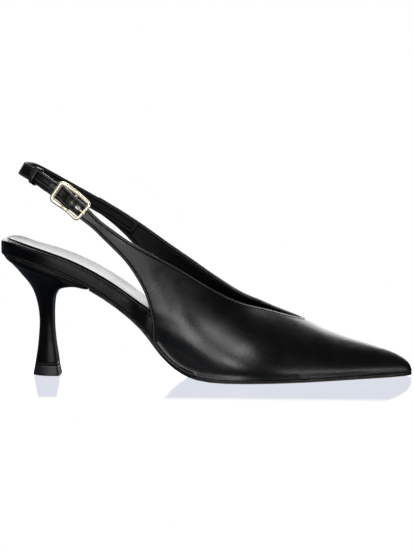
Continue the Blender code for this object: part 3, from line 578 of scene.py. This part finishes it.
# Writes edgeDistance: how far each point lies from the piece's sharp edges, without short stray
# ones and those that the given test leaves out
def markEdges(made, skip=None, step=0.00025, shortest=0.008):
    work = bmesh.new()
    work.from_mesh(made.data)
    sharp = work.edges.layers.float["crease_edge"]
    left = {
        edge for edge in work.edges
        if edge[sharp] > 0.5 and not (skip and skip((edge.verts[0].co + edge.verts[1].co) / 2))
    }
    samples = []
    while left:
        run, waiting = [], [left.pop()]
        while waiting:
            edge = waiting.pop()
            run.append(edge)
            beside = [e for v in edge.verts for e in v.link_edges if e in left]
            left.difference_update(beside)
            waiting += beside
        if sum(edge.calc_length() for edge in run) < shortest:
            continue
        for edge in run:
            start, end = (v.co for v in edge.verts)
            count = max(int((end - start).length / step), 1)
            samples += [start.lerp(end, k / count) for k in range(count + 1)]
    work.free()
    tree = KDTree(len(samples))
    for i, place in enumerate(samples):
        tree.insert(place, i)
    tree.balance()
    distances = [tree.find(v.co)[2] if samples else 1.0 for v in made.data.vertices]
    made.data.attributes.new("edgeDistance", "FLOAT", "POINT").data.foreach_set("value", distances)
    return np.array(distances)


def nodeTree(node):
    return BVHTree.FromObject(frame["nodes"][node], bpy.context.evaluated_depsgraph_get())


# Whether the wall behind each face is thinner than the given value
def wallTest(made, thickest, lift=0.00003, farthest=0.05):
    tree = BVHTree.FromObject(made, bpy.context.evaluated_depsgraph_get())
    thin = []
    for face in made.data.polygons:
        found = tree.ray_cast(face.center - face.normal * lift, -face.normal, farthest)
        thin.append(found[0] is not None and found[3] < thickest)
    return thin


# Lines at one distance from the edges, over the chosen faces: the places where the triangles' sides
# cross that distance, and the surface's normals there
def linesAtDistance(made, distances, level, chosen):
    mesh = made.data
    places = vertexPlaces(mesh)
    mesh.calc_loop_triangles()
    crossing, normals, beside = {}, {}, {}
    for triangle in mesh.loop_triangles:
        if not chosen[triangle.polygon_index]:
            continue
        ends = []
        for a, b in ((0, 1), (1, 2), (2, 0)):
            low, high = sorted((triangle.vertices[a], triangle.vertices[b]))
            if (distances[low] < level) != (distances[high] < level):
                share = (level - distances[low]) / (distances[high] - distances[low])
                crossing[low, high] = places[low] + (places[high] - places[low]) * share
                ends.append((low, high))
        if len(ends) == 2:
            for key, other in (ends, reversed(ends)):
                beside.setdefault(key, []).append(other)
                normals.setdefault(key, np.zeros(3))
                normals[key] += np.array(triangle.normal)
    return [([crossing[key] for key in chain], [normals[key] for key in chain]) for chain in chained(beside)]


# Runs of neighbours, each begun at a loose end where there is one
def chained(beside):
    chains, used = [], set()
    for start in sorted(beside, key=lambda key: len(beside[key])):
        if start in used:
            continue
        chain = [start]
        used.add(start)
        while True:
            onward = [key for key in beside[chain[-1]] if key not in used]
            if not onward:
                break
            chain.append(onward[0])
            used.add(onward[0])
        chains.append(chain)
    return chains


def chainLength(points):
    return float(np.linalg.norm(np.diff(np.array(points), axis=0), axis=1).sum())


# Stitches along a line, made by Geometry Nodes: arcs of thread whose ends dip into the leather.
# Their rise and dip are given in thread radii.
stitchForm = {"rise": 1.5, "dip": -0.7, "steps": 5, "sides": 6}


def buildStitchTree(form):
    tree = bpy.data.node_groups.new("stitchRow", "GeometryNodeTree")
    face = tree.interface
    face.new_socket("Geometry", in_out="INPUT", socket_type="NodeSocketGeometry")
    for label, value in (("Spacing", 0.0021), ("Stitch Length", 0.0016), ("Thread Radius", 0.0002)):
        face.new_socket(label, in_out="INPUT", socket_type="NodeSocketFloat").default_value = value
    face.new_socket("Thread", in_out="INPUT", socket_type="NodeSocketMaterial")
    face.new_socket("Geometry", in_out="OUTPUT", socket_type="NodeSocketGeometry")
    nodes, links = tree.nodes, tree.links
    given = nodes.new("NodeGroupInput").outputs
    toCurve = nodes.new("GeometryNodeMeshToCurve")
    links.new(given["Geometry"], toCurve.inputs["Mesh"])
    resample = nodes.new("GeometryNodeResampleCurve")
    resample.mode = "LENGTH"
    links.new(toCurve.outputs[0], resample.inputs["Curve"])
    links.new(given["Spacing"], resample.inputs["Length"])
    half = mathNode(nodes, links, "MULTIPLY", given["Stitch Length"], 0.5)
    low = mathNode(nodes, links, "MULTIPLY", given["Thread Radius"], form["dip"])
    high = mathNode(nodes, links, "MULTIPLY", given["Thread Radius"], form["rise"])
    ends = []
    for side, height in ((-1.0, low), (0.0, high), (1.0, low)):
        place = nodes.new("ShaderNodeCombineXYZ")
        links.new(mathNode(nodes, links, "MULTIPLY", half, side), place.inputs["X"])
        links.new(height, place.inputs["Z"])
        ends.append(place.outputs[0])
    arc = nodes.new("GeometryNodeCurveQuadraticBezier")
    arc.inputs["Resolution"].default_value = form["steps"]
    for name, place in zip(("Start", "Middle", "End"), ends):
        links.new(place, arc.inputs[name])
    ring = nodes.new("GeometryNodeCurvePrimitiveCircle")
    ring.inputs["Resolution"].default_value = form["sides"]
    links.new(given["Thread Radius"], ring.inputs["Radius"])
    stitch = nodes.new("GeometryNodeCurveToMesh")
    stitch.inputs["Fill Caps"].default_value = True
    links.new(arc.outputs[0], stitch.inputs["Curve"])
    links.new(ring.outputs[0], stitch.inputs["Profile Curve"])
    outward = nodes.new("GeometryNodeInputNamedAttribute")
    outward.data_type = "FLOAT_VECTOR"
    outward.inputs["Name"].default_value = "outward"
    turn = nodes.new("FunctionNodeAxesToRotation")
    turn.primary_axis, turn.secondary_axis = "Z", "X"
    links.new(outward.outputs["Attribute"], turn.inputs["Primary Axis"])
    links.new(nodes.new("GeometryNodeInputTangent").outputs[0], turn.inputs["Secondary Axis"])
    copies = nodes.new("GeometryNodeInstanceOnPoints")
    links.new(resample.outputs[0], copies.inputs["Points"])
    links.new(stitch.outputs[0], copies.inputs["Instance"])
    links.new(turn.outputs[0], copies.inputs["Rotation"])
    real = nodes.new("GeometryNodeRealizeInstances")
    links.new(copies.outputs[0], real.inputs[0])
    paint = nodes.new("GeometryNodeSetMaterial")
    links.new(real.outputs[0], paint.inputs["Geometry"])
    links.new(given["Thread"], paint.inputs["Material"])
    links.new(paint.outputs[0], nodes.new("NodeGroupOutput").inputs["Geometry"])
    return tree


stitchTree = buildStitchTree(stitchForm)


def socketName(tree, label):
    return next(item.identifier for item in tree.interface.items_tree if item.name == label)


def stitchRows(name, chains, look):
    points, edges, outward = [], [], []
    for places, normals in chains:
        first = len(points)
        points += [Vector(p) for p in places]
        outward += [Vector(n).normalized() for n in normals]
        edges += [(first + i, first + i + 1) for i in range(len(places) - 1)]
    mesh = bpy.data.meshes.new(name)
    mesh.from_pydata(points, edges, [])
    field = mesh.attributes.new("outward", "FLOAT_VECTOR", "POINT")
    field.data.foreach_set("vector", [c for v in outward for c in v])
    made = newObject(name, mesh)
    row = made.modifiers.new("stitches", "NODES")
    row.node_group = stitchTree
    for label, value in (("Spacing", look["spacing"]), ("Stitch Length", look["stitch"]),
                         ("Thread Radius", look["thread"]), ("Thread", materials["blackThread"])):
        row[socketName(stitchTree, label)] = value
    applyModifiers(made)
    made.data.shade_smooth()
    return made


def finishPiece(made, node):
    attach(made, body)
    if node:
        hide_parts(node)


# The upper: walls, folded and stitched edges, soft creases
upperLook = {
    "levels": 2,
    "crease": 50.0,
    "rounding": 0.0004,
    "thickestWall": 0.0023,
    "soleReach": 0.0016,
    "bedReach": 0.0012,
    "bedStart": -0.03,
    "shortestRow": 0.03,
    "foldLine": 0.0016,
    "spacing": 0.0023,
    "stitch": 0.0013,
    "thread": 0.00028,
    "tuckLine": ((-0.034, 0.0370), (-0.0226, 0.0327), (-0.0137, 0.0286), (-0.0030, 0.0225), (0.0071, 0.0160),
                 (0.0220, 0.0125), (0.0576, 0.0050)),
    "tuckWidth": 0.011,
    "tuckDepth": 0.0007,
    "tuckFade": 0.02,
    "pressedSide": -0.004,
    "clearOfEdge": 0.004,
    "clearOfSole": (0.0003, 0.0035),
    # soft creases on the outer side: start and end along the shoe and up, width, depth (minus swells)
    "creases": (
        ((-0.0255, 0.0640), (-0.0165, 0.0465), 0.0050, 0.00022),
        ((-0.0290, 0.0415), (-0.0110, 0.0385), 0.0045, -0.00015),
        ((-0.0075, 0.0575), (0.0035, 0.0480), 0.0045, -0.00015),
        ((0.0010, 0.0420), (0.0130, 0.0330), 0.0045, 0.00008),
    ),
}


# A line through the middle of the shoe: shares of its length, and its side and heights
axisLook = {"back": 0.36, "front": 0.93, "side": 0.001, "lowest": 0.016, "middle": 0.034, "fall": 0.05}


# The point of that line beside a place on the upper
def shoeAxis(place, look):
    share = min(max((place.x - cadLow.x) / shoeLength, look["back"]), look["front"])
    height = max(look["lowest"], look["middle"] - look["fall"] * (share - 0.5))
    return Vector((cadLow.x + share * shoeLength, look["side"], height))


def softStep(value):
    held = min(max(value, 0.0), 1.0)
    return held * held * (3 - 2 * held)


# How far a place on the outer side of the upper lies pressed in: the soft creases of the wing, and
# the tuck where the leather is drawn in to the sole
def pressedIn(place, look):
    depth = 0.0
    for (x0, z0), (x1, z1), width, deep in look["creases"]:
        along = Vector((x1 - x0, z1 - z0))
        toPlace = Vector((place.x - x0, place.z - z0))
        share = min(max(toPlace.dot(along) / along.length_squared, 0.0), 1.0)
        away = (toPlace - along * share).length
        depth += deep * math.exp(-(away / width) ** 2)
    xs, zs = zip(*look["tuckLine"])
    below = float(np.interp(place.x, xs, zs)) - place.z
    behind = softStep((xs[-1] - place.x) / look["tuckFade"])
    return depth + look["tuckDepth"] * softStep(below / look["tuckWidth"]) * behind


# Evens out the small ripples that the faces leave away from the edges
def evenOut(made, distances, rounds=8, clear=0.0012):
    work = bmesh.new()
    work.from_mesh(made.data)
    work.verts.ensure_lookup_table()
    inside = [v for v, distance in zip(work.verts, distances) if distance > clear]
    for _ in range(rounds):
        bmesh.ops.smooth_vert(
            work, verts=inside, factor=0.5, use_axis_x=True, use_axis_y=True, use_axis_z=True,
        )
    work.to_mesh(made.data)
    work.free()


# Presses the creases and the tuck into the outer side's faces, away from the folded edges and the sole
def pressUpper(made, look, distances, outer, sole):
    moved = {v for face, out in zip(made.data.polygons, outer) if out for v in face.vertices}
    places = vertexPlaces(made.data)
    normals = np.array([tuple(v.normal) for v in made.data.vertices])
    gap, rise = look["clearOfSole"]
    for index in moved:
        place = Vector(places[index])
        if place.y < look["pressedSide"]:
            fromEdge = softStep(distances[index] / look["clearOfEdge"])
            fromSole = softStep((sole.find_nearest(place)[3] - gap) / rise)
            places[index] -= normals[index] * (pressedIn(place, look) * fromEdge * fromSole)
    made.data.vertices.foreach_set("co", places.ravel())
    made.data.update()


def buildUpper(look):
    made = fineCopy("upper", look["levels"], look["crease"])
    sole = nodeTree("outsole")
    bed = nodeTree("footbed")

    def onBottom(place):
        if sole.find_nearest(place)[3] < look["soleReach"]:
            return True
        return place.x > look["bedStart"] and bed.find_nearest(place)[3] < look["bedReach"]

    def facesIn(face):
        return (face.center - shoeAxis(face.center, axisLook)).dot(face.normal) < 0

    evenOut(made, markEdges(made))
    made.data.attributes.remove(made.data.attributes["edgeDistance"])
    distances = markEdges(made, onBottom)
    thin = wallTest(made, look["thickestWall"])
    inner = [isThin and facesIn(face) for isThin, face in zip(thin, made.data.polygons)]
    outer = [isThin and not isInner for isThin, isInner in zip(thin, inner)]
    pressUpper(made, look, distances, outer, sole)
    lines = linesAtDistance(made, distances, look["foldLine"], outer)
    rows = [line for line in lines if chainLength(line[0]) > look["shortestRow"]]
    print("Stitch lines on the upper, in mm:", [round(chainLength(row[0]) * 1000) for row in rows])
    for name in ("upperLeather", "liningLeather"):
        made.data.materials.append(materials[name])
    made.data.polygons.foreach_set("material_index", [int(i) for i in inner])
    roundEdges(made, look["rounding"], look["crease"])
    made.name = "upperLeather"
    finishPiece(made, "upper")
    stitches = stitchRows("upperStitches", rows, look)
    finishPiece(stitches, None)
    print("Upper:", len(made.data.polygons), "faces, stitches", len(stitches.data.polygons))


buildUpper(upperLook)


# The other pieces that are refined from their nodes
pieceLooks = {
    "footbed": dict(
        levels=2, rounding=0.0003, crease=60.0, material="wrappedLeather", slot="wrapped_leather",
    ),
    "heel": dict(
        levels=2, rounding=0.0004, crease=50.0, material="wrappedLeather", slot="wrapped_leather",
    ),
    "sock_lining": dict(
        levels=2, rounding=0.00025, crease=50.0, material="sockLeather", slot="sock_leather",
    ),
    "sling_strap": dict(
        levels=2, rounding=0.0004, crease=50.0, material="strapLeather", inside="liningLeather",
        slot="black_leather",
    ),
    "keeper": dict(
        levels=2, rounding=0.0002, crease=60.0, material="strapLeather", slot="black_leather",
    ),
    "elastic": dict(
        levels=1, rounding=0.00015, crease=50.0, material="elasticWeave", slot="black_elastic",
    ),
    "buckle_frame": dict(
        levels=1, rounding=0.0, crease=60.0, material="paleGold", slot="pale_gold",
    ),
    "buckle_prong": dict(
        levels=1, rounding=0.0, crease=60.0, material="paleGold", slot="pale_gold",
    ),
    "top_lift": dict(
        levels=1, rounding=0.00025, crease=40.0, material="topLiftRubber", slot="black_rubber",
    ),
    "outsole": dict(
        levels=0, rounding=0.0002, crease=40.0, material="soleLeather", slot="sole_leather",
    ),
}

ankle = Vector((-0.045, 0.0, 0.0))  # a place inside the sling, seen from above


# Whether a face of the sling looks towards the foot
def facesFoot(face):
    toFoot = ankle - face.center
    toFoot.z = 0.0
    return face.normal.dot(toFoot.normalized()) > 0.5


def buildPiece(node, look):
    made = fineCopy(node, look["levels"], look["crease"])
    markEdges(made)
    made.data.materials.append(materials[look["material"]])
    if "inside" in look:
        made.data.materials.append(materials[look["inside"]])
        slots = [int(facesFoot(face)) for face in made.data.polygons]
        made.data.polygons.foreach_set("material_index", slots)
    if look["rounding"]:
        roundEdges(made, look["rounding"], look["crease"])
    else:
        made.data.shade_smooth()
    made.name = look["material"] + "_" + node
    finishPiece(made, node)
    print("Piece:", node, len(made.data.polygons), "faces")


for node, look in pieceLooks.items():
    buildPiece(node, look)


# Camera, floor and light, as in a pack shot on white
shotLook = {
    "sensor": 36.0,
    "seenTo": 50.0,
    "distance": 2.0,
    "elevation": 6.5,
    "turn": 3.5,
    "seenHeight": 0.3356,
    "target": (0.0005, 0.00099, 0.0605),
    "roomLight": 0.05,
    "floorSize": 6.0,
    "floorGap": 0.0001,
    "floorRoughness": 0.6,
    "floorFront": -0.16,
    "floorColour": (0.03, 0.032, 0.038),
    "floorTint": (0.62, 0.80, 1.0),
    "floorLight": 0.07,
    # near the shoe the floor is painted a darker bluish tone, a painted shade under a faint real mirror
    "boardShadeColour": (0.70, 0.725, 0.80),
    "boardGloss": 0.3,
    "boardRoughness": 0.04,
    "boardFront": -0.093,
    "boardBack": 0.05,
    "boardFade": 0.008,
    "boardReach": 0.14,
    "boardSoftness": 0.04,
}


# The direction at a compass angle, counted from the front towards the toe, and a height angle
def direction(angle, height):
    turn, lift = math.radians(angle), math.radians(height)
    return Vector((math.sin(turn) * math.cos(lift), -math.cos(turn) * math.cos(lift), math.sin(lift)))


def buildCamera(look):
    back = direction(look["turn"], look["elevation"])
    data = bpy.data.cameras.new("camera")
    data.sensor_width = look["sensor"]
    data.lens = look["sensor"] * look["distance"] / look["seenHeight"]
    data.clip_end = look["seenTo"]
    made = newObject("camera", data)
    made.location = Vector(look["target"]) + back * look["distance"]
    made.rotation_mode = "QUATERNION"
    made.rotation_quaternion = (-back).to_track_quat("-Z", "Y")
    bpy.context.scene.camera = made


def buildFloor(look):
    size, edge = look["floorSize"], look["floorFront"]
    mesh = bpy.data.meshes.new("floor")
    corners = [(-size, edge, 0), (size, edge, 0), (size, size, 0), (-size, size, 0)]
    mesh.from_pydata(corners, [], [(0, 1, 2, 3)])
    made = newObject("floor", mesh)
    made.location.z = cadLow.z - look["floorGap"]
    paint, nodes, links, shader = newMaterial("floorWhite", look["floorColour"], look["floorRoughness"])
    shader.inputs["Specular IOR Level"].default_value = 0.0
    shader.inputs["Emission Color"].default_value = shade(look["floorTint"])
    shader.inputs["Emission Strength"].default_value = look["floorLight"]
    # the camera sees it white, and near the shoe a darker bluish patch of painted shade standing in for the
    # shoe's reflection, with a faint real mirror on it as on a gloss sheet
    boardShade = nodes.new("ShaderNodeEmission")
    boardShade.inputs["Color"].default_value = shade(look["boardShadeColour"])
    gloss = nodes.new("ShaderNodeBsdfGlossy")
    gloss.inputs["Color"].default_value = shade((look["boardGloss"],) * 3)
    gloss.inputs["Roughness"].default_value = look["boardRoughness"]
    both = nodes.new("ShaderNodeAddShader")
    links.new(boardShade.outputs[0], both.inputs[0])
    links.new(gloss.outputs[0], both.inputs[1])
    place = nodes.new("ShaderNodeSeparateXYZ")
    links.new(objectPlace(nodes), place.inputs[0])
    front, fade = look["boardFront"], look["boardFade"]
    near = mapRange(nodes, links, place.outputs["Y"], front - fade, front + fade, 0.0, 1.0)
    back, reach, soft = look["boardBack"], look["boardReach"], look["boardSoftness"]
    far = mapRange(nodes, links, place.outputs["Y"], back, back + soft, 1.0, 0.0)
    sideways = mathNode(nodes, links, "ABSOLUTE", place.outputs["X"])
    beside = mapRange(nodes, links, sideways, reach, reach + soft, 1.0, 0.0)
    around = mathNode(nodes, links, "MULTIPLY", near, far)
    blend = nodes.new("ShaderNodeMixShader")
    links.new(mathNode(nodes, links, "MULTIPLY", around, beside), blend.inputs[0])
    white = nodes.new("ShaderNodeEmission")
    links.new(white.outputs[0], blend.inputs[1])
    links.new(both.outputs[0], blend.inputs[2])
    seen = nodes.new("ShaderNodeMixShader")
    links.new(nodes.new("ShaderNodeLightPath").outputs["Is Camera Ray"], seen.inputs[0])
    links.new(shader.outputs[0], seen.inputs[1])
    links.new(blend.outputs[0], seen.inputs[2])
    links.new(seen.outputs[0], nodes["Material Output"].inputs["Surface"])
    mesh.materials.append(paint)


# Softboxes: compass angle from the front (minus is the heel side), height angle, distance, size
# and how bright each looks
lightLooks = {
    "key": dict(angle=3, height=31, away=1.6, size=(0.55, 0.6), glow=5.6),
    "lowLeft": dict(angle=-11, height=3, away=1.6, size=(0.38, 0.5), glow=7.5),
    "left": dict(angle=-40, height=31, away=1.6, size=(0.8, 0.55), glow=3.5),
    "lowRight": dict(angle=52, height=-3, away=1.6, size=(1.05, 0.35), glow=4.8),
    "top": dict(angle=176, height=66, away=1.6, size=(1.2, 0.35), glow=5.0),
    "behind": dict(angle=172, height=20, away=1.7, size=(2.4, 1.2), glow=3.0),
}


def buildLights(looks):
    aim = Vector(shotLook["target"])
    for name, look in looks.items():
        toLight = direction(look["angle"], look["height"])
        data = bpy.data.lights.new(name, "AREA")
        data.shape = "RECTANGLE"
        data.size, data.size_y = look["size"]
        data.energy = look["glow"] * math.pi * data.size * data.size_y
        made = newObject(name, data)
        made.location = aim + toLight * look["away"]
        made.rotation_mode = "QUATERNION"
        made.rotation_quaternion = toLight.to_track_quat("Z", "Y")
        made.visible_camera = False


def buildWorld(look):
    world = bpy.data.worlds.new("studio")
    bpy.context.scene.world = world
    world.use_nodes = True
    nodes, links = world.node_tree.nodes, world.node_tree.links
    room = nodes["Background"]
    room.inputs["Color"].default_value = (1, 1, 1, 1)
    room.inputs["Strength"].default_value = look["roomLight"]
    seen = nodes.new("ShaderNodeBackground")
    seen.inputs["Color"].default_value = (1, 1, 1, 1)
    blend = nodes.new("ShaderNodeMixShader")
    links.new(nodes.new("ShaderNodeLightPath").outputs["Is Camera Ray"], blend.inputs[0])
    links.new(room.outputs[0], blend.inputs[1])
    links.new(seen.outputs[0], blend.inputs[2])
    links.new(blend.outputs[0], nodes["World Output"].inputs["Surface"])


buildCamera(shotLook)
buildFloor(shotLook)
buildLights(lightLooks)
buildWorld(shotLook)
bpy.context.scene.view_settings.view_transform = "Standard"
bpy.context.scene.view_settings.look = "None"

print("Scene is ready")
